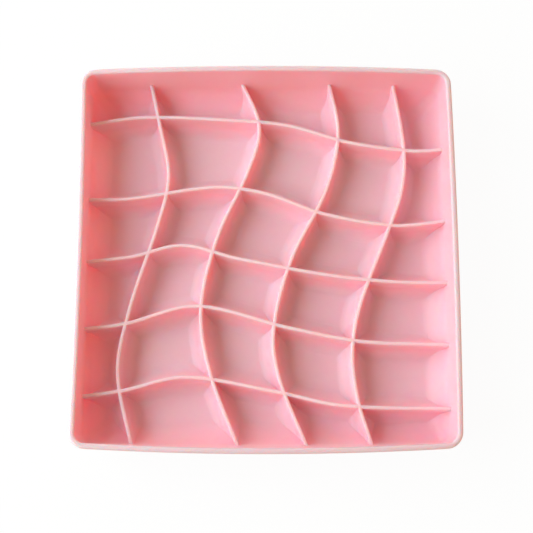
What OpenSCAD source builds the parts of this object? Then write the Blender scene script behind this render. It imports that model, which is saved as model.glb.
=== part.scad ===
// Slow feeder bowl: a square soft silicone tray whose floor is parted into
// wavy-sided cells by thin upright dividers. Millimetres, +Z up, origin on the
// resting surface under the middle of the tray, front wall towards -Y.

/* [Tray] */
// Outer width across the rim, left to right
tray_w = 200; // [160:1:260]
// Outer depth across the rim, front to back
tray_d = 202; // [160:1:260]
// Height from the underside of the floor to the top of the rim
tray_h = 36; // [32:0.5:60]
// Thickness of the floor
floor_t = 3; // [2:0.1:4]
// Thickness of the side walls, which is also the width of the rim
wall_t = 3; // [2:0.1:5]
// Outward lean of the side walls, in degrees
wall_lean = 1; // [0.5:0.1:5]
// Outer corner radius, seen from above
corner_r = 8; // [6:0.5:20]
// Inside radius where the walls run into the floor
wall_fillet = 10; // [6:0.5:12]

/* [Bow of the soft walls] */
// How far the back wall's rim bulges out at its middle
back_bow = 2.5; // [0:0.1:4]
// How far the front wall's rim bulges out at its middle
front_bow = 3.1; // [0:0.1:4]
// How far the left wall's rim bulges out at its middle, less than zero for inwards
left_bow = -1; // [-2:0.1:4]
// How far the right wall's rim bulges out at its middle, less than zero for inwards
right_bow = 1.1; // [-2:0.1:4]

/* [Dividers] */
// Height of the dividers above the floor
divider_h = 16; // [11:0.5:18]
// Thickness of a divider at its rounded top edge
divider_t = 2; // [1:0.1:3]
// Draft of each divider face, in degrees
divider_draft = 2; // [1:0.1:4]
// Radius at the foot of a divider, where it runs into the floor
divider_fillet = 5; // [3:0.5:7]

/* [Suction cups] */
// Diameter of a suction cup at its lip
cup_d = 26; // [16:1:34]
// Height of a suction cup under the floor
cup_h = 4; // [3:0.5:6]
// Diameter of the neck that joins a cup to the floor
cup_neck_d = 11; // [6:1:14]
// Width of the flat ring of lip that rests on the ground
cup_lip = 1.2; // [0.8:0.1:2]
// Thickness of the cup at the edge of its lip
cup_edge_t = 1; // [0.6:0.1:1.5]
// Depth of the hollow under a cup
cup_hollow = 2; // [1:0.1:2.2]
// Distance from the left or right edge of the tray to the middle of a cup
cup_x = 38; // [34:1:55]
// Distance from the front or back edge of the tray to the middle of a cup
cup_y = 39; // [34:1:55]

/* [Hidden] */

// Side of the square plan on which the centrelines are drawn; it is stretched to the tray
PLAN_SIZE = 200;
// Centrelines of the dividers, as points that a smooth curve passes through, from the
// middle of that plan. A column runs from front to back, so its points are
// [along Y, across X]. A row runs from left to right: [along X, across Y].
// The end points lie in or past the walls, which trim the dividers.
COLUMNS = [
    [[-100, -69.5], [-60, -78], [-25, -72], [20, -58], [46, -53], [75, -58.5], [100, -64]],
    [[-100, -14], [-60, -29.5], [-27, -34.5], [12, -26], [50, -9], [74, -3.5], [100, -13.5]],
    [[-100, 22], [-63, 7], [-38, 4.3], [0, 14], [38, 33], [70, 40], [100, 35]],
    [[-100, 56], [-75, 48.5], [-50, 46], [-25, 50.5], [12, 65], [37, 74], [60, 76], [100, 70.5]]
];
ROWS = [
    [[-100, 74.5], [-68, 79], [-20, 77.5], [12, 74.5], [45, 65], [80, 60], [100, 61]],
    [[-100, 32.5], [-75, 33], [-27, 39.5], [0, 36], [30, 25.2], [70, 18.3], [100, 21]],
    [[-100, -2], [-72, 1.2], [-45, 7.3], [-15, 0.2], [35, -9], [70, -12.5], [100, -13]],
    [[-100, -38], [-75, -35], [-37, -25.5], [10, -36.5], [50, -44.2], [100, -46.2]],
    [[-100, -73.5], [-75, -70], [-43, -63], [5, -70.5], [40, -77.7], [100, -79.5]]
];

// Number of flats round a corner, along a side, over a fillet and over the rim
CORNER_STEPS = 6;
SIDE_STEPS = 8;
FILLET_STEPS = 4;
RIM_STEPS = 6;
// Number of lengths that a divider is made of, and of flats on its foot and its top edge
DIVIDER_STEPS = 32;
FOOT_STEPS = 3;
TOP_STEPS = 2;
// How far to each side of a crossing a row is cut by its column, on the plan
CROSSING_REACH = 20;
// How far a divider's foot sinks before the floor trims it
FOOT_SINK = 1;
// Steepest angle at which a divider's fillet meets the floor, so its edge has some body
FOOT_ANGLE = 76;

rim_r = wall_t / 2;
rim_z = tray_h - rim_r;
outer_fillet = wall_fillet + floor_t;
inner_corner_r = corner_r - wall_t;
tray_colour = "#f4b6c2";
divider_colour = "#f7c6d0";

// Inset of a leaning wall's face at a height, from the widest line of the tray
function lean_in(z) = (rim_z - z) * tan(wall_lean);

// Point on the fillet between a level surface at height z0 and a leaning wall that starts
// at inset i0 under the rim, as [inset, height]; the angle runs from the lean to 90 at the floor
function fillet_point(z0, i0, r, angle) =
    let (centre = i0 + lean_in(z0 + r - r * sin(wall_lean)) + r * cos(wall_lean))
    [centre - r * cos(angle), z0 + r - r * sin(angle)];

// The fillet as a list of points from the wall down to the floor
function fillet(z0, i0, r) = [
    for (i = [0:FILLET_STEPS])
        fillet_point(z0, i0, r, wall_lean + (90 - wall_lean) * i / FILLET_STEPS)
];

// A soft wall bulges most at its free rim and at the middle of its length, and not at all
// at the floor or at the corners that hold it
function bowed(p, z) =
    let (
        u = 2 * p[0] / tray_w,
        v = 2 * p[1] / tray_d,
        free = min(max((z - floor_t) / (rim_z - floor_t), 0), 1)
    )
    [
        p[0] + u * (1 - v * v) * free * (u > 0 ? right_bow : left_bow),
        p[1] + v * (1 - u * u) * free * (v > 0 ? back_bow : front_bow),
        z
    ];

// Quarter circle and straight side of the tray's plan, before the bow
function corner(x, y, r, start) = [
    for (i = [0:CORNER_STEPS])
        let (a = start + 90 * i / CORNER_STEPS)
        [x + r * cos(a), y + r * sin(a)]
];
function side(a, b) = [for (i = [1:SIDE_STEPS - 1]) a + (b - a) * i / SIDE_STEPS];

// Closed plan of the tray at an inset from its widest line, as points at height z
function ring(inset, r, z) =
    let (
        x = tray_w / 2 - inset,
        y = tray_d / 2 - inset,
        plan = concat(
            corner(x - r, y - r, r, 0), side([x - r, y], [r - x, y]),
            corner(r - x, y - r, r, 90), side([-x, y - r], [-x, r - y]),
            corner(r - x, r - y, r, 180), side([r - x, -y], [x - r, -y]),
            corner(x - r, r - y, r, 270), side([x, r - y], [x, y - r])
        )
    )
    [for (p = plan) bowed(p, z)];

// Triangles between neighbouring rings of n points each
function strip(a, b, n) = [
    for (i = [0:n - 1])
        let (j = (i + 1) % n)
        for (t = [[a + i, b + i, b + j], [a + i, b + j, a + j]]) t
];

// Solid with a level face on its first and last ring
module capped_loft(rings) {
    n = len(rings[0]);
    last = len(rings) - 1;
    points = concat(
        [for (r = rings) each r],
        [[0, 0, rings[0][0][2]], [0, 0, rings[last][0][2]]]
    );
    hub = n * len(rings);
    faces = concat(
        [for (k = [0:last - 1]) each strip(k * n, (k + 1) * n, n)],
        [for (i = [0:n - 1]) [hub, i, (i + 1) % n]],
        [for (i = [0:n - 1]) [hub + 1, last * n + (i + 1) % n, last * n + i]]
    );
    polyhedron(points, faces);
}

// Solid that closes on itself, last ring to first
module ring_loft(rings) {
    n = len(rings[0]);
    m = len(rings);
    faces = [for (k = [0:m - 1]) each strip(k * n, ((k + 1) % m) * n, n)];
    polyhedron([for (r = rings) each r], faces);
}

function outer_fillet_rings() = [
    for (p = fillet(0, 0, outer_fillet)) ring(p[0], corner_r, p[1])
];
function inner_fillet_rings() = [
    for (p = fillet(floor_t, wall_t, wall_fillet)) ring(p[0], inner_corner_r, p[1])
];
function reversed(list) = [for (i = [len(list) - 1:-1:0]) list[i]];

// The hollow of the tray, from its floor to the foot of the rim
module cavity() {
    capped_loft(concat(reversed(inner_fillet_rings()), [ring(wall_t, inner_corner_r, rim_z)]));
}

// Flat floor with the rounded edge that turns up into the walls
module floor_pan() {
    color(tray_colour)
        translate([0, 0, cup_h])
            capped_loft(concat(reversed(outer_fillet_rings()), inner_fillet_rings()));
}

// Upright part of the walls, leaning outwards
module side_wall() {
    color(tray_colour)
        translate([0, 0, cup_h])
            ring_loft([
                outer_fillet_rings()[0],
                ring(0, corner_r, rim_z),
                ring(wall_t, inner_corner_r, rim_z),
                inner_fillet_rings()[0]
            ]);
}

// Rounded lip along the top of the walls
module rim() {
    color(tray_colour)
        translate([0, 0, cup_h])
            ring_loft([
                for (i = [0:RIM_STEPS])
                    let (a = 180 * i / RIM_STEPS, inset = rim_r - rim_r * cos(a))
                    ring(inset, corner_r - inset, rim_z + rim_r * sin(a))
            ]);
}

// Slope of a centreline at one of its points, taken from the points beside it
function slope(line, i) =
    let (a = line[max(i - 1, 0)], b = line[min(i + 1, len(line) - 1)])
    (b[1] - a[1]) / (b[0] - a[0]);

// Number of the point at which the stretch that holds s begins
function stretch(line, s, i = 0) =
    i >= len(line) - 2 || s < line[i + 1][0] ? i : stretch(line, s, i + 1);

// How far to the side a smooth centreline lies at s: a cubic between neighbouring points
function wave(line, s) =
    let (
        i = stretch(line, s),
        w = line[i + 1][0] - line[i][0],
        t = (s - line[i][0]) / w
    )
    line[i][1] * (1 + 2 * t) * (1 - t) * (1 - t)
    + slope(line, i) * w * t * (1 - t) * (1 - t)
    + line[i + 1][1] * t * t * (3 - 2 * t)
    - slope(line, i + 1) * w * t * t * (1 - t);

// Half of a divider's section above the floor, from its foot to the middle of its top edge
divider_top_r = divider_t / 2;
function half_width(z) = divider_top_r + (divider_h - divider_top_r - z) * tan(divider_draft);
function foot_point(angle) =
    let (
        r = divider_fillet,
        centre = half_width(r - r * sin(divider_draft)) + r * cos(divider_draft)
    )
    [centre - r * cos(angle), r - r * sin(angle)];
half_section = concat(
    [[foot_point(FOOT_ANGLE)[0], -FOOT_SINK]],
    [for (i = [0:FOOT_STEPS]) foot_point(FOOT_ANGLE + (divider_draft - FOOT_ANGLE) * i / FOOT_STEPS)],
    [
        for (i = [0:TOP_STEPS])
            let (a = 90 * i / TOP_STEPS)
            [divider_top_r * cos(a), divider_h - divider_top_r + divider_top_r * sin(a)]
    ]
);
section = concat(
    half_section,
    [for (i = [len(half_section) - 2:-1:0]) [-half_section[i][0], half_section[i][1]]]
);

// Upright wavy strip along centre points, with its section square to the line
module sweep(centres) {
    n = len(section);
    last = len(centres) - 1;
    points = [
        for (k = [0:last])
            let (
                ahead = centres[min(k + 1, last)] - centres[max(k - 1, 0)],
                across = [ahead[1], -ahead[0]] / norm(ahead)
            )
            for (p = section)
                [centres[k][0] + across[0] * p[0], centres[k][1] + across[1] * p[0], p[1]]
    ];
    end = [
        for (i = [0:(n - 3) / 2])
            for (t = [[i, i + 1, n - 2 - i], [i, n - 2 - i, n - 1 - i]])
                if (t[1] != t[2]) t
    ];
    faces = concat(
        [for (k = [0:last - 1]) each strip((k + 1) * n, k * n, n)],
        [for (t = end) [t[2], t[1], t[0]]],
        [for (t = end) [last * n + t[0], last * n + t[1], last * n + t[2]]]
    );
    polyhedron(points, faces);
}

function stations(line) = [
    for (i = [0:DIVIDER_STEPS])
        line[0][0] + (line[len(line) - 1][0] - line[0][0]) * i / DIVIDER_STEPS
];

// A point of the plan, stretched to the tray
function on_tray(x, y) = [x * tray_w, y * tray_d] / PLAN_SIZE;

// Untrimmed strips along a row's or column's stations
module row_strip(line) {
    translate([0, 0, floor_t])
        sweep([for (s = stations(line)) on_tray(s, wave(line, s))]);
}
module column_strip(line, stops) {
    translate([0, 0, floor_t])
        sweep([for (s = stops) on_tray(wave(line, s), s)]);
}

// Stations of a column on both sides of where a row crosses it
function crossing(column, row) = [
    for (s = stations(column)) if (abs(s - wave(row, wave(column, s))) < CROSSING_REACH) s
];

// Divider that runs from the front wall to the back wall
module column_divider(i) {
    color(divider_colour)
        translate([0, 0, cup_h])
            intersection() {
                column_strip(COLUMNS[i], stations(COLUMNS[i]));
                cavity();
            }
}

// Divider that runs from the left wall to the right wall, parted by the columns it crosses
module row_divider(i) {
    color(divider_colour)
        translate([0, 0, cup_h])
            difference() {
                intersection() {
                    row_strip(ROWS[i]);
                    cavity();
                }
                for (column = COLUMNS)
                    column_strip(column, crossing(column, ROWS[i]));
            }
}

// Shallow bell on a short neck, moulded under the floor; side is -1 at the left and 1 at the
// right, and end is -1 at the front and 1 at the back
module suction_cup(side, end) {
    hollow_r = cup_d / 2 - cup_lip;
    dome_r = (hollow_r * hollow_r + cup_hollow * cup_hollow) / (2 * cup_hollow);
    shoulder_z = cup_hollow + cup_edge_t;
    color(tray_colour)
        translate([side * (tray_w / 2 - cup_x), end * (tray_d / 2 - cup_y), 0])
            difference() {
                rotate_extrude($fn = 96)
                    polygon([
                        [0, 0], [cup_d / 2, 0], [cup_d / 2, cup_edge_t],
                        [cup_neck_d / 2, shoulder_z], [cup_neck_d / 2, cup_h], [0, cup_h]
                    ]);
                translate([0, 0, cup_hollow - dome_r])
                    sphere(dome_r, $fn = 96);
            }
}

floor_pan();
side_wall();
rim();
column_divider(0);  // column_divider_1
column_divider(1);  // column_divider_2
column_divider(2);  // column_divider_3
column_divider(3);  // column_divider_4
row_divider(0);  // row_divider_1
row_divider(1);  // row_divider_2
row_divider(2);  // row_divider_3
row_divider(3);  // row_divider_4
row_divider(4);  // row_divider_5
suction_cup(-1, -1);  // suction_cup_1
suction_cup(1, -1);  // suction_cup_2
suction_cup(-1, 1);  // suction_cup_3
suction_cup(1, 1);  // suction_cup_4
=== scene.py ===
import math

import bmesh
import bpy
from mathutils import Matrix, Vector


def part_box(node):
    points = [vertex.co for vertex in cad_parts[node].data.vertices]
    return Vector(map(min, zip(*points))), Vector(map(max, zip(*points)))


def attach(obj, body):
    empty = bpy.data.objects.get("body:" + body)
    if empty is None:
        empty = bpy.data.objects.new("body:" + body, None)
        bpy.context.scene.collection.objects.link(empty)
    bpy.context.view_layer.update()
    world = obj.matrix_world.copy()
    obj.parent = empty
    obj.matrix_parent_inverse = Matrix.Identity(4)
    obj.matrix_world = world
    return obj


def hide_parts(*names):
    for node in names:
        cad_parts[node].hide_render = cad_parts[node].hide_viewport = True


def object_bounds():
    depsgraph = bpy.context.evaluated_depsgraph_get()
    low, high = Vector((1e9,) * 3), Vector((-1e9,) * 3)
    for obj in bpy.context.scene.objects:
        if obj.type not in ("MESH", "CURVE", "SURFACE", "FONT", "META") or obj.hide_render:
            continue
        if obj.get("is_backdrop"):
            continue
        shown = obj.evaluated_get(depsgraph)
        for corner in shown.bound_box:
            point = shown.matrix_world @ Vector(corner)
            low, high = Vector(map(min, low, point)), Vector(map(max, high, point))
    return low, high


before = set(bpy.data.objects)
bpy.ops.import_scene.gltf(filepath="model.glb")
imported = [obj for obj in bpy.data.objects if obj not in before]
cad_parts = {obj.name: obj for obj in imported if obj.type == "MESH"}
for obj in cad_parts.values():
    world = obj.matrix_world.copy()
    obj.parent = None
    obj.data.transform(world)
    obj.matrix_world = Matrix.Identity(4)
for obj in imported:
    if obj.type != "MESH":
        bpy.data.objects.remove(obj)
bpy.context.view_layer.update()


# Tray
# The body of the feeder: a thick sheet of soft silicone pressed in a heated mould, with a flat
# floor that turns up through a wide round into low walls that lean out a little. The walls end
# in a full bead, a little flat on top, and left the mould limp, so each has set with a slight bow.
MM = 0.001
TRAY_WIDTH = 200 * MM
TRAY_DEPTH = 202 * MM
CORNER_RADIUS = 8 * MM
INSIDE_ROUND = 13 * MM
OUTSIDE_ROUND = 13 * MM
WALL_LEAN = math.radians(1)
BOW_LEFT, BOW_RIGHT = -1 * MM, 1.1 * MM
BOW_FRONT, BOW_BACK = 3.1 * MM, 2.5 * MM
CORNER_STEPS = 10
SIDE_STEPS = 16
EDGE_POWER = 0.74
BEAD_STEPS = 14
ROUND_STEPS = 10

floor_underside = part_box("floor_pan")[0].z
floor_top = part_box("column_divider_1")[0].z
bead_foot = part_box("side_wall")[1].z
bead_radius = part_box("rim")[1].z - bead_foot
wall_thickness = 2 * bead_radius
floor_thickness = floor_top - floor_underside


def round_centre(level, wall_inset, radius):
    """Inset and height of the middle of the round between a level surface and a leaning wall."""
    tangent_height = level + radius - radius * math.sin(WALL_LEAN)
    lean = (bead_foot - tangent_height) * math.tan(WALL_LEAN)
    return wall_inset + lean + radius * math.cos(WALL_LEAN), level + radius


def wall_profile(level, wall_inset, radius):
    """Points down a wall's face and through the round at its foot, as (inset, height)."""
    inset, height = round_centre(level, wall_inset, radius)
    angles = [
        WALL_LEAN + (math.pi / 2 - WALL_LEAN) * step / ROUND_STEPS
        for step in range(ROUND_STEPS + 1)
    ]
    return [(inset - radius * math.cos(a), height - radius * math.sin(a)) for a in angles]


def edge_point(angle):
    """Across and up on a moulded edge, in its radii: a half circle made a little squarer."""
    across, up = math.cos(angle), math.sin(angle)
    return math.copysign(abs(across) ** EDGE_POWER, across), abs(up) ** EDGE_POWER


def extrude_down(wall_inset, profile):
    """Extrudes what is selected ring by ring, from the foot of the bead along a wall profile."""
    last_inset, last_height = wall_inset, bead_foot
    for inset, height in profile:
        bpy.ops.mesh.extrude_region_move(
            TRANSFORM_OT_translate={"value": (0, 0, height - last_height)}
        )
        shrink_x = (TRAY_WIDTH / 2 - inset) / (TRAY_WIDTH / 2 - last_inset)
        shrink_y = (TRAY_DEPTH / 2 - inset) / (TRAY_DEPTH / 2 - last_inset)
        bpy.ops.transform.resize(value=(shrink_x, shrink_y, 1), center_override=(0, 0, 0))
        last_inset, last_height = inset, height


def bowed(x, y, z):
    """A soft wall bulges most at the middle of its free rim, and not at the floor or corners."""
    across, along = 2 * x / TRAY_WIDTH, 2 * y / TRAY_DEPTH
    free = min(max((z - floor_top) / (bead_foot - floor_top), 0), 1)
    side_bow = free * (BOW_RIGHT if x > 0 else BOW_LEFT)
    end_bow = free * (BOW_BACK if y > 0 else BOW_FRONT)
    return x + across * (1 - along**2) * side_bow, y + along * (1 - across**2) * end_bow, z


def select_edges(piece, wanted):
    """Selects only the edges of a piece in edit mode that the test wants."""
    bpy.ops.mesh.select_mode(type="EDGE")
    bpy.ops.mesh.select_all(action="DESELECT")
    mesh = bmesh.from_edit_mesh(piece.data)
    for edge in filter(wanted, mesh.edges):
        edge.select_set(True)
    bmesh.update_edit_mesh(piece.data)


bpy.ops.object.select_all(action="DESELECT")
bpy.ops.mesh.primitive_plane_add(size=1, location=(0, 0, bead_foot))
tray = bpy.context.object
tray.name = "tray_moulding"
bpy.ops.object.transform_apply()
bpy.ops.object.mode_set(mode="EDIT")
bpy.ops.transform.resize(value=(TRAY_WIDTH, TRAY_DEPTH, 1), center_override=(0, 0, 0))
bpy.ops.mesh.bevel(offset=CORNER_RADIUS, segments=CORNER_STEPS, affect="VERTICES")
select_edges(tray, lambda edge: edge.calc_length() > TRAY_WIDTH / 2)
bpy.ops.mesh.subdivide(number_cuts=SIDE_STEPS - 1)

bpy.ops.mesh.select_mode(type="FACE")
bpy.ops.mesh.select_all(action="SELECT")
bead = [edge_point(math.pi * step / BEAD_STEPS) for step in range(BEAD_STEPS + 1)]
for (across, up), (next_across, next_up) in zip(bead, bead[1:]):
    bpy.ops.mesh.inset(
        thickness=bead_radius * (across - next_across),
        depth=bead_radius * (next_up - up),
    )
extrude_down(wall_thickness, wall_profile(floor_top, wall_thickness, INSIDE_ROUND))

select_edges(tray, lambda edge: edge.is_boundary)
extrude_down(0, wall_profile(floor_underside, 0, OUTSIDE_ROUND))
bpy.ops.mesh.edge_face_add()
bpy.ops.mesh.select_all(action="SELECT")
bpy.ops.mesh.normals_make_consistent(inside=False)
bpy.ops.object.mode_set(mode="OBJECT")
for vertex in tray.data.vertices:
    vertex.co = bowed(*vertex.co)
bpy.ops.object.modifier_add(type="SUBSURF")
tray.modifiers[-1].levels = tray.modifiers[-1].render_levels = 1
bpy.ops.object.modifier_apply(modifier=tray.modifiers[-1].name)
bpy.ops.object.shade_smooth()

# Platinum-cured silicone rubber, pressed in a fine blasted mould: a soft matte skin with a faint
# sheen and an even pink pigment. Light travels on inside it, red the farthest. The top of the rim
# and of the dividers is also painted a paler colour: a painted highlight for the sheen and the
# light through these thin edges. The mould's grain is finer than a pixel and is drawn coarser.
PIGMENT = "#F4BCC8"
PIGMENT_DEEP = "#F1B6C4"
PIGMENT_CLOUD = 28 * MM
# Painted highlight: a paler, greyer colour over the top of the rim's bead.
RIM_PAINTED_HIGHLIGHT = "#CFC0CB"
RIM_HIGHLIGHT_DEPTH = 2 * MM
SILICONE_IOR = 1.41
LIGHT_REACH = 9 * MM
REACH_BY_COLOUR = (1, 0.25, 0.17)
MOULD_GRAIN = 0.35 * MM
GRAIN_DEPTH = 0.05 * MM
GRAIN_STRENGTH = 0.15
HANDLING_MARK = 9 * MM
ROUGH_LEAST, ROUGH_MOST = 0.42, 0.54
CLOUD_DETAIL, MARK_DETAIL, GRAIN_DETAIL = 3, 4, 2
SHEEN_WEIGHT, SHEEN_ROUGHNESS = 0.1, 0.4


def linear(hex_colour):
    """An sRGB hex colour as linear RGBA."""
    channels = [int(hex_colour[i : i + 2], 16) / 255 for i in (1, 3, 5)]
    return [c / 12.92 if c <= 0.04045 else ((c + 0.055) / 1.055) ** 2.4 for c in channels] + [1]


def add_node(tree, kind, inputs, **settings):
    """Adds a node; an input is a value, or another node's output to link."""
    node = tree.nodes.new(kind)
    for name, value in settings.items():
        setattr(node, name, value)
    for name, value in inputs.items():
        if isinstance(value, bpy.types.NodeSocket):
            tree.links.new(value, node.inputs[name])
        else:
            node.inputs[name].default_value = value
    return node


def silicone(name, highlight_colour, highlight_top, highlight_depth):
    """Pink silicone, painted paler as a highlight from highlight_top down through highlight_depth.
    """
    material = bpy.data.materials.new(name)
    material.use_nodes = True
    tree = material.node_tree
    shader = tree.nodes["Principled BSDF"]
    place = add_node(tree, "ShaderNodeTexCoord", {}).outputs["Object"]
    cloud = add_node(
        tree,
        "ShaderNodeTexNoise",
        {"Vector": place, "Scale": 1 / PIGMENT_CLOUD, "Detail": CLOUD_DETAIL},
    )
    pigment = add_node(
        tree,
        "ShaderNodeMix",
        {"Factor": cloud.outputs["Fac"], "A": linear(PIGMENT), "B": linear(PIGMENT_DEEP)},
        data_type="RGBA",
    )
    height = add_node(tree, "ShaderNodeSeparateXYZ", {"Vector": place}).outputs["Z"]
    # Painted highlight: the colour turns paler up to the top edge, in place of sheen and light
    # there.
    painted_highlight = add_node(
        tree,
        "ShaderNodeMapRange",
        {"Value": height, "From Min": highlight_top - highlight_depth, "From Max": highlight_top},
        interpolation_type="SMOOTHSTEP",
    )
    colour = add_node(
        tree,
        "ShaderNodeMix",
        {
            "Factor": painted_highlight.outputs["Result"],
            "A": pigment.outputs["Result"],
            "B": linear(highlight_colour),
        },
        data_type="RGBA",
    )
    marks = add_node(
        tree,
        "ShaderNodeTexNoise",
        {"Vector": place, "Scale": 1 / HANDLING_MARK, "Detail": MARK_DETAIL},
    )
    roughness = add_node(
        tree,
        "ShaderNodeMapRange",
        {"Value": marks.outputs["Fac"], "To Min": ROUGH_LEAST, "To Max": ROUGH_MOST},
    )
    grain = add_node(
        tree,
        "ShaderNodeTexNoise",
        {"Vector": place, "Scale": 1 / MOULD_GRAIN, "Detail": GRAIN_DETAIL},
    )
    bump = add_node(
        tree,
        "ShaderNodeBump",
        {"Height": grain.outputs["Fac"], "Strength": GRAIN_STRENGTH, "Distance": GRAIN_DEPTH},
    )
    tree.links.new(colour.outputs["Result"], shader.inputs["Base Color"])
    tree.links.new(roughness.outputs["Result"], shader.inputs["Roughness"])
    tree.links.new(bump.outputs["Normal"], shader.inputs["Normal"])
    shader.inputs["IOR"].default_value = SILICONE_IOR
    shader.inputs["Subsurface Weight"].default_value = 1
    shader.inputs["Subsurface Radius"].default_value = REACH_BY_COLOUR
    shader.inputs["Subsurface Scale"].default_value = LIGHT_REACH
    shader.inputs["Sheen Weight"].default_value = SHEEN_WEIGHT
    shader.inputs["Sheen Roughness"].default_value = SHEEN_ROUGHNESS
    return material


tray_silicone = silicone("silicone_tray", RIM_PAINTED_HIGHLIGHT, bead_foot + bead_radius, RIM_HIGHLIGHT_DEPTH)
tray.data.materials.append(tray_silicone)
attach(tray, "root")
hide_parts("floor_pan", "side_wall", "rim")


# Dividers
# Thin wavy ribs of the same silicone, moulded in one with the floor: four run from the front
# wall to the back wall and five from side to side. Each narrows a little towards its rounded top
# edge and spreads at its foot, and its ends run into the walls.
DIVIDER_THICKNESS = 2 * MM
DIVIDER_DRAFT = math.radians(2)
FOOT_ROUND = 7.5 * MM
FOOT_END = math.radians(85)
FOOT_STEPS = 8
EDGE_STEPS = 6
CURVE_STEPS = 14
WELD_DISTANCE = 0.001 * MM
TRAY_SMOOTH = math.radians(35)
# Painted highlight: a paler colour over the dividers' top edges.
DIVIDER_PAINTED_HIGHLIGHT = "#DDBFC9"
DIVIDER_HIGHLIGHT_DEPTH = 1.5 * MM

# Points that each centreline passes through, in percent of half the tray: (along Y, across X)
# for a column, from front to back, and (along X, across Y) for a row, from left to right. A line
# runs from -100 to 100, so the whole tray is 200 percent.
WHOLE_TRAY = 200
COLUMNS = [
    [(-100, -69.5), (-60, -78), (-25, -72), (20, -58), (46, -53), (75, -58.5), (100, -64)],
    [(-100, -14), (-60, -29.5), (-27, -34.5), (12, -26), (50, -9), (74, -3.5), (100, -13.5)],
    [(-100, 22), (-63, 7), (-38, 4.3), (0, 14), (38, 33), (70, 40), (100, 35)],
    [(-100, 56), (-75, 48.5), (-50, 46), (-25, 50.5), (12, 65), (37, 74), (60, 76), (100, 70.5)],
]
ROWS = [
    [(-100, 74.5), (-68, 79), (-20, 77.5), (12, 74.5), (45, 65), (80, 60), (100, 61)],
    [(-100, 32.5), (-75, 33), (-27, 39.5), (0, 36), (30, 25.2), (70, 18.3), (100, 21)],
    [(-100, -2), (-72, 1.2), (-45, 7.3), (-15, 0.2), (35, -9), (70, -12.5), (100, -13)],
    [(-100, -38), (-75, -35), (-37, -25.5), (10, -36.5), (50, -44.2), (100, -46.2)],
    [(-100, -73.5), (-75, -70), (-43, -63), (5, -70.5), (40, -77.7), (100, -79.5)],
]

divider_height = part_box("column_divider_1")[1].z - floor_top
edge_radius = DIVIDER_THICKNESS / 2
half_floor = floor_thickness / 2


def divider_half_section():
    """Half of a divider's section from its sunk foot to its top edge, as (across, up)."""
    straight = divider_height - edge_radius - FOOT_ROUND + FOOT_ROUND * math.sin(DIVIDER_DRAFT)
    centre = (
        edge_radius
        + straight * math.tan(DIVIDER_DRAFT)
        + FOOT_ROUND * math.cos(DIVIDER_DRAFT)
    )
    turn = FOOT_END - DIVIDER_DRAFT
    foot = [FOOT_END - turn * step / FOOT_STEPS for step in range(FOOT_STEPS + 1)]
    edge = [edge_point(math.pi / 2 * step / EDGE_STEPS) for step in range(EDGE_STEPS + 1)]
    edge_centre = divider_height - edge_radius
    return (
        [(centre - FOOT_ROUND * math.cos(FOOT_END), -half_floor)]
        + [(centre - FOOT_ROUND * math.cos(a), FOOT_ROUND - FOOT_ROUND * math.sin(a)) for a in foot]
        + [(edge_radius * across, edge_centre + edge_radius * up) for across, up in edge]
    )


bpy.ops.object.select_all(action="DESELECT")
bpy.ops.curve.primitive_bezier_curve_add()
section = bpy.context.object
section.name = "divider_section"
section.data.dimensions = "2D"
section.data.splines.clear()
half = divider_half_section()
outline = half + [(-across, up) for across, up in reversed(half[:-1])]
spline = section.data.splines.new("POLY")
spline.points.add(len(outline) - 1)
for point, (across, up) in zip(spline.points, outline):
    point.co = (across, up, 0, 1)
spline.use_cyclic_u = True


def cut_at_wall(end, outward):
    """Cuts a divider off inside the thickness of the wall and of the round at the wall's foot."""
    inset, height = round_centre(floor_top, wall_thickness, INSIDE_ROUND)
    wall = Vector((TRAY_WIDTH / 2 - inset, TRAY_DEPTH / 2 - inset))
    middle = Vector(bowed(outward.x * wall.x or end.x, outward.y * wall.y or end.y, height))
    for angle in (WALL_LEAN, math.pi / 4):
        normal = outward * math.cos(angle) - Vector((0, 0, math.sin(angle)))
        bpy.ops.mesh.select_all(action="SELECT")
        bpy.ops.mesh.bisect(
            plane_co=middle + (INSIDE_ROUND + bead_radius) * normal,
            plane_no=normal,
            use_fill=True,
            clear_outer=True,
        )


def divider(name, line, place, forward):
    """Sweeps the divider section along a smooth line and trims it at the walls."""
    last = len(line) - 1
    bpy.ops.object.select_all(action="DESELECT")
    bpy.ops.curve.primitive_bezier_curve_add()
    rib = bpy.context.object
    rib.name = name
    rib.data.twist_mode = "Z_UP"
    rib.data.resolution_u = CURVE_STEPS
    rib.data.bevel_mode = "OBJECT"
    rib.data.bevel_object = section
    rib.data.use_fill_caps = True
    points = rib.data.splines[0].bezier_points
    points.add(last - 1)
    for i, (along, across) in enumerate(line):
        before, after = line[max(i - 1, 0)], line[min(i + 1, last)]
        slope = (after[1] - before[1]) / (after[0] - before[0])
        reach_back = (along - before[0]) / 3
        reach_on = (after[0] - along) / 3
        points[i].handle_left_type = points[i].handle_right_type = "FREE"
        points[i].co = place(along, across)
        points[i].handle_left = place(along - reach_back, across - slope * reach_back)
        points[i].handle_right = place(along + reach_on, across + slope * reach_on)
    bpy.ops.object.convert(target="MESH")
    bpy.ops.object.mode_set(mode="EDIT")
    bpy.ops.mesh.select_all(action="SELECT")
    bpy.ops.mesh.remove_doubles(threshold=WELD_DISTANCE)
    cut_at_wall(place(*line[0]), -forward)
    cut_at_wall(place(*line[last]), forward)
    bpy.ops.mesh.select_all(action="SELECT")
    bpy.ops.mesh.normals_make_consistent(inside=False)
    bpy.ops.object.mode_set(mode="OBJECT")
    return rib


def row_place(along, across):
    """A row's point in metres, from percent of half the tray."""
    return Vector((along * TRAY_WIDTH / WHOLE_TRAY, across * TRAY_DEPTH / WHOLE_TRAY, floor_top))


def column_place(along, across):
    """A column's point in metres: the same, with along and across exchanged."""
    return row_place(across, along)


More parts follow.
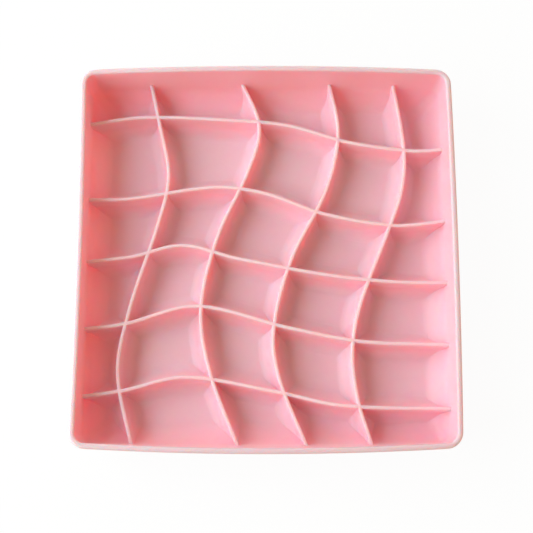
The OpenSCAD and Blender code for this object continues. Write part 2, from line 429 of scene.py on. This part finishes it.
divider_top = floor_top + divider_height
divider_silicone = silicone("silicone_divider", DIVIDER_PAINTED_HIGHLIGHT, divider_top, DIVIDER_HIGHLIGHT_DEPTH)
layouts = [
    ("column_divider", COLUMNS, column_place, Vector((0, 1, 0))),
    ("row_divider", ROWS, row_place, Vector((1, 0, 0))),
]
tray.data.materials.append(divider_silicone)
for kind, lines, place, forward in layouts:
    for number, line in enumerate(lines, start=1):
        node = f"{kind}_{number}"
        rib = divider(f"{node}_rib", line, place, forward)
        rib.data.materials.append(divider_silicone)
        bpy.ops.object.select_all(action="DESELECT")
        bpy.context.view_layer.objects.active = tray
        bpy.ops.object.modifier_add(type="BOOLEAN")
        union = tray.modifiers[-1]
        union.operation = "UNION"
        union.solver = "MANIFOLD"
        union.object = rib
        bpy.ops.object.modifier_apply(modifier=union.name)
        bpy.data.objects.remove(rib)
        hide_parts(node)
bpy.data.objects.remove(section)
bpy.ops.object.select_all(action="DESELECT")
tray.select_set(True)
bpy.ops.object.shade_smooth_by_angle(angle=TRAY_SMOOTH)
bpy.ops.object.modifier_add(type="WEIGHTED_NORMAL")
tray.modifiers[-1].keep_sharp = True
bpy.ops.object.modifier_apply(modifier=tray.modifiers[-1].name)


# Suction cups
# Four shallow bells moulded in one with the underside of the floor, each on a short neck. Pressed
# on a smooth ground, the thin lip seals and the hollow holds the tray in its place.
CUP_NECK = 5.5 * MM
CUP_EDGE = 1 * MM
CUP_LIP = 1.2 * MM
CUP_HOLLOW = 2 * MM
HOLLOW_CENTRE = 0.3 * MM
LIP_CHAMFER = 0.2 * MM
BELL_POWER = 0.9
CUP_SIDES = 64
HOLLOW_STEPS = 8
BELL_STEPS = 6
CUP_SMOOTH = math.radians(50)


def cup_profile(cup_radius):
    """Points down the neck, over the bell, round the lip and up the hollow, as (radius, height)."""
    shoulder = CUP_HOLLOW + CUP_EDGE
    hollow = cup_radius - CUP_LIP
    dome = (hollow**2 + CUP_HOLLOW**2) / (2 * CUP_HOLLOW)
    shares = [step / BELL_STEPS for step in range(1, BELL_STEPS + 1)]
    bell = [
        (
            CUP_NECK + (cup_radius - CUP_NECK) * share,
            shoulder - (shoulder - CUP_EDGE) * share**BELL_POWER,
        )
        for share in shares
    ]
    radii = [hollow * (1 - step / HOLLOW_STEPS) for step in range(HOLLOW_STEPS)]
    inside = [(r, math.sqrt(dome**2 - r**2) - dome + CUP_HOLLOW) for r in radii]
    return (
        [(CUP_NECK, floor_underside), (CUP_NECK, shoulder)]
        + bell
        + [(cup_radius, LIP_CHAMFER), (cup_radius - LIP_CHAMFER, 0)]
        + inside
        + [(HOLLOW_CENTRE, CUP_HOLLOW)]
    )


low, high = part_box("suction_cup_1")
last_radius, last_height = CUP_NECK, floor_underside + half_floor
bpy.ops.object.select_all(action="DESELECT")
bpy.ops.mesh.primitive_circle_add(
    vertices=CUP_SIDES, radius=last_radius, fill_type="NGON", location=(0, 0, last_height)
)
pattern_cup = bpy.context.object
bpy.ops.object.transform_apply()
bpy.ops.object.mode_set(mode="EDIT")
for radius, height in cup_profile((high.x - low.x) / 2):
    bpy.ops.mesh.extrude_region_move(
        TRANSFORM_OT_translate={"value": (0, 0, height - last_height)}
    )
    grow = radius / last_radius
    bpy.ops.transform.resize(value=(grow, grow, 1), center_override=(0, 0, 0))
    last_radius, last_height = radius, height
bpy.ops.mesh.select_all(action="SELECT")
bpy.ops.mesh.normals_make_consistent(inside=False)
bpy.ops.object.mode_set(mode="OBJECT")
bpy.ops.object.shade_smooth_by_angle(angle=CUP_SMOOTH)
pattern_cup.data.materials.append(tray_silicone)

for number in range(1, 5):
    node = f"suction_cup_{number}"
    low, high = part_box(node)
    bpy.ops.object.select_all(action="DESELECT")
    pattern_cup.select_set(True)
    bpy.context.view_layer.objects.active = pattern_cup
    bpy.ops.object.duplicate()
    cup = bpy.context.object
    cup.name = f"{node}_bell"
    bpy.ops.transform.translate(value=((low.x + high.x) / 2, (low.y + high.y) / 2, 0))
    bpy.ops.object.transform_apply()
    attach(cup, "root")
    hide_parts(node)
bpy.data.objects.remove(pattern_cup)


# Studio
# A white sweep under the tray, a large, soft and slightly cool lamp low on its left, a weak one
# like it behind, and a warm surround that fills the shadows. The camera stands over the front
# edge and looks down on the tray.
FLOOR_SIZE = 6.0
FRAME_PIXELS = 533
FOCAL_PIXELS = 1075
SENSOR_WIDTH = 36
CAMERA_TILT = math.radians(11.39)
CAMERA_DISTANCE = 560 * MM
AIM = Vector((0.47 * MM, -7.74 * MM, bead_foot + bead_radius))
KEY_HEIGHT = math.radians(37)
FILL_HEIGHT = math.radians(22)
LAMP_DISTANCE = 1.0
LAMP_SIZE = 1.0
KEY_POWER = 15.5
FILL_POWER = 2.6
LAMP_COLOUR = "#DAF8FF"
SURROUND_COLOUR = "#FFE0B8"
SURROUND_STRENGTH = 0.61
WHITE = "#FFFFFF"
PAPER = "#E7E7E7"
PAPER_GLOW = 0.95

bpy.ops.object.select_all(action="DESELECT")
bpy.ops.mesh.primitive_plane_add(size=FLOOR_SIZE)
sweep = bpy.context.object
sweep.name = "studio_floor"
white = bpy.data.materials.new("studio_white_paper")
white.use_nodes = True
tree = white.node_tree
tree.nodes.remove(tree.nodes["Principled BSDF"])
ray = add_node(tree, "ShaderNodeLightPath", {})
seen = add_node(
    tree,
    "ShaderNodeMath",
    {0: ray.outputs["Is Camera Ray"], 1: ray.outputs["Is Glossy Ray"]},
    operation="MAXIMUM",
)
seen = add_node(
    tree,
    "ShaderNodeMath",
    {0: seen.outputs[0], 1: ray.outputs["Is Transmission Ray"]},
    operation="MAXIMUM",
)
paper = add_node(tree, "ShaderNodeBsdfDiffuse", {"Color": linear(PAPER)})
glow = add_node(tree, "ShaderNodeEmission", {"Color": linear(WHITE), "Strength": 1})
lift = add_node(
    tree, "ShaderNodeMath", {0: seen.outputs[0], 1: PAPER_GLOW}, operation="MULTIPLY"
)
mix = add_node(
    tree,
    "ShaderNodeMixShader",
    {"Fac": lift.outputs[0], 1: paper.outputs["BSDF"], 2: glow.outputs["Emission"]},
)
tree.links.new(mix.outputs["Shader"], tree.nodes["Material Output"].inputs["Surface"])
sweep.data.materials.append(white)
sweep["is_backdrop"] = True

lamps = [
    ("key_softbox", Vector((-math.cos(KEY_HEIGHT), 0, math.sin(KEY_HEIGHT))), KEY_POWER),
    ("fill_softbox", Vector((0, math.cos(FILL_HEIGHT), math.sin(FILL_HEIGHT))), FILL_POWER),
]
for name, direction, power in lamps:
    bpy.ops.object.light_add(type="AREA", location=LAMP_DISTANCE * direction)
    lamp = bpy.context.object
    lamp.name = name
    lamp.data.size = LAMP_SIZE
    lamp.data.energy = power
    lamp.data.color = linear(LAMP_COLOUR)[:3]
    lamp.rotation_euler = (-direction).to_track_quat("-Z", "Y").to_euler()
    lamp.visible_camera = False

world = bpy.data.worlds.new("pale_surround")
bpy.context.scene.world = world
world.use_nodes = True
tree = world.node_tree
ray = add_node(tree, "ShaderNodeLightPath", {})
tint = add_node(
    tree,
    "ShaderNodeMix",
    {"Factor": ray.outputs["Is Camera Ray"], "A": linear(SURROUND_COLOUR), "B": linear(WHITE)},
    data_type="RGBA",
)
strength = add_node(
    tree,
    "ShaderNodeMapRange",
    {"Value": ray.outputs["Is Camera Ray"], "To Min": SURROUND_STRENGTH, "To Max": 1},
)
tree.links.new(tint.outputs["Result"], tree.nodes["Background"].inputs["Color"])
tree.links.new(strength.outputs["Result"], tree.nodes["Background"].inputs["Strength"])

back = Vector((0, -math.sin(CAMERA_TILT), math.cos(CAMERA_TILT)))
bpy.ops.object.camera_add(location=AIM + CAMERA_DISTANCE * back, rotation=(CAMERA_TILT, 0, 0))
camera = bpy.context.object
camera.data.sensor_width = SENSOR_WIDTH
camera.data.lens = FOCAL_PIXELS / FRAME_PIXELS * SENSOR_WIDTH
bpy.context.scene.camera = camera
bpy.context.scene.view_settings.view_transform = "Standard"

low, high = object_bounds()
